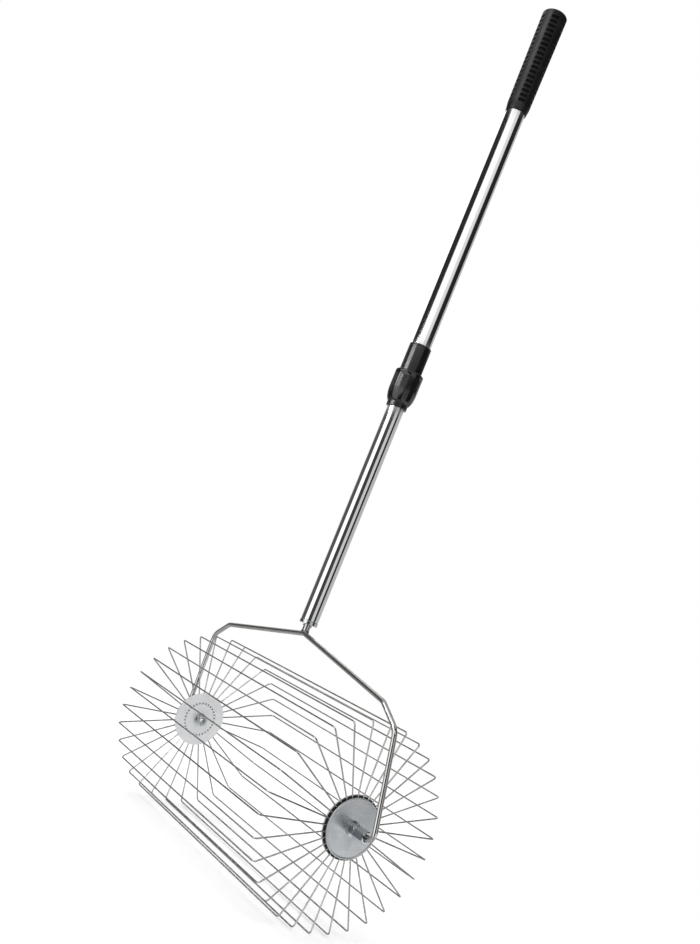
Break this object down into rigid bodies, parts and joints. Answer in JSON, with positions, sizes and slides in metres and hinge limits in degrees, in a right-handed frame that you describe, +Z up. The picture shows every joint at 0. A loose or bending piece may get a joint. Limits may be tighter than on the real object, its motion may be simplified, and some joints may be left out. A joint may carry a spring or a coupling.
{
  "type": "rolling wire gatherer",
  "caption": "Rolling wire-cage gatherer: sprung wire loops between two hub discs on a bent rod yoke, with a telescopic steel pole, a twist lock and a rubber grip.",
  "frame": {"origin": "on the ground, straight under the middle of the cage", "axes": "+Z up along the pole, X along the cage's axle, -Y the front, towards which the yoke leans"},
  "size_m": [0.492, 0.233, 1.1714],
  "materials": {
    "polished_steel": "polished stainless",
    "wire_steel": "bright drawn wire",
    "zinc_plate": "bright zinc, satin",
    "zinc_hardware": "bright zinc",
    "black_plastic": "gloss moulded",
    "spacer_plastic": "matte moulded",
    "natural_plastic": "natural nylon",
    "black_rubber": "moulded rubber"
  },
  "bodies": {
    "pole_upper": {"upper_tube": "polished_steel", "grip": "black_rubber", "lock_sleeve": "black_plastic", "lock_collet": "natural_plastic"},
    "lock_ring": {"lock_nut": "black_plastic"},
    "pole_guide": {"guide_plug": "natural_plastic"},
    "pole_lower": {"lower_tube": "polished_steel", "end_plug": "zinc_hardware", "yoke_stud": "polished_steel", "yoke_rod": "polished_steel", "axle_stud_left": "zinc_hardware", "inner_washer_left": "zinc_hardware", "inner_nut_left": "zinc_hardware", "outer_washer_left": "zinc_hardware", "thin_nut_left": "zinc_hardware", "coupling_nut_left": "zinc_hardware", "axle_stud_right": "zinc_hardware", "inner_washer_right": "zinc_hardware", "inner_nut_right": "zinc_hardware", "outer_washer_right": "zinc_hardware", "thin_nut_right": "zinc_hardware", "coupling_nut_right": "zinc_hardware"},
    "cage": {"wire_01": "wire_steel", "wire_02": "wire_steel", "wire_03": "wire_steel", "wire_04": "wire_steel", "wire_05": "wire_steel", "wire_06": "wire_steel", "wire_07": "wire_steel", "wire_08": "wire_steel", "wire_09": "wire_steel", "wire_10": "wire_steel", "wire_11": "wire_steel", "wire_12": "wire_steel", "wire_13": "wire_steel", "wire_14": "wire_steel", "wire_15": "wire_steel", "wire_16": "wire_steel", "wire_17": "wire_steel", "wire_18": "wire_steel", "wire_19": "wire_steel", "wire_20": "wire_steel", "wire_21": "wire_steel", "wire_22": "wire_steel", "wire_23": "wire_steel", "wire_24": "wire_steel", "wire_25": "wire_steel", "wire_26": "wire_steel", "wire_27": "wire_steel", "wire_28": "wire_steel", "wire_29": "wire_steel", "wire_30": "wire_steel", "inner_disc_left": "zinc_plate", "outer_disc_left": "zinc_plate", "wire_spacer_left": "spacer_plastic", "hub_bush_left": "zinc_hardware", "inner_disc_right": "zinc_plate", "outer_disc_right": "zinc_plate", "wire_spacer_right": "spacer_plastic", "hub_bush_right": "zinc_hardware"}
  },
  "joints": [
    {"name": "lock_twist", "type": "hinge", "parent": "pole_upper", "child": "lock_ring", "pos_m": [0, -0.01994, 0.6138], "axis": [0, 0, 1], "range_deg": [0, 90]},
    {"name": "telescope", "type": "slide", "parent": "pole_upper", "child": "pole_guide", "axis": [0, 0, 1], "range_m": [-0.15, 0.27]},
    {"name": "pole_turn", "type": "hinge", "parent": "pole_guide", "child": "pole_lower", "pos_m": [0, -0.01994, 0.6], "axis": [0, 0, 1], "continuous": true},
    {"name": "cage_roll", "type": "hinge", "parent": "pole_lower", "child": "cage", "pos_m": [0, 0, 0.1171], "axis": [1, 0, 0], "continuous": true}
  ]
}
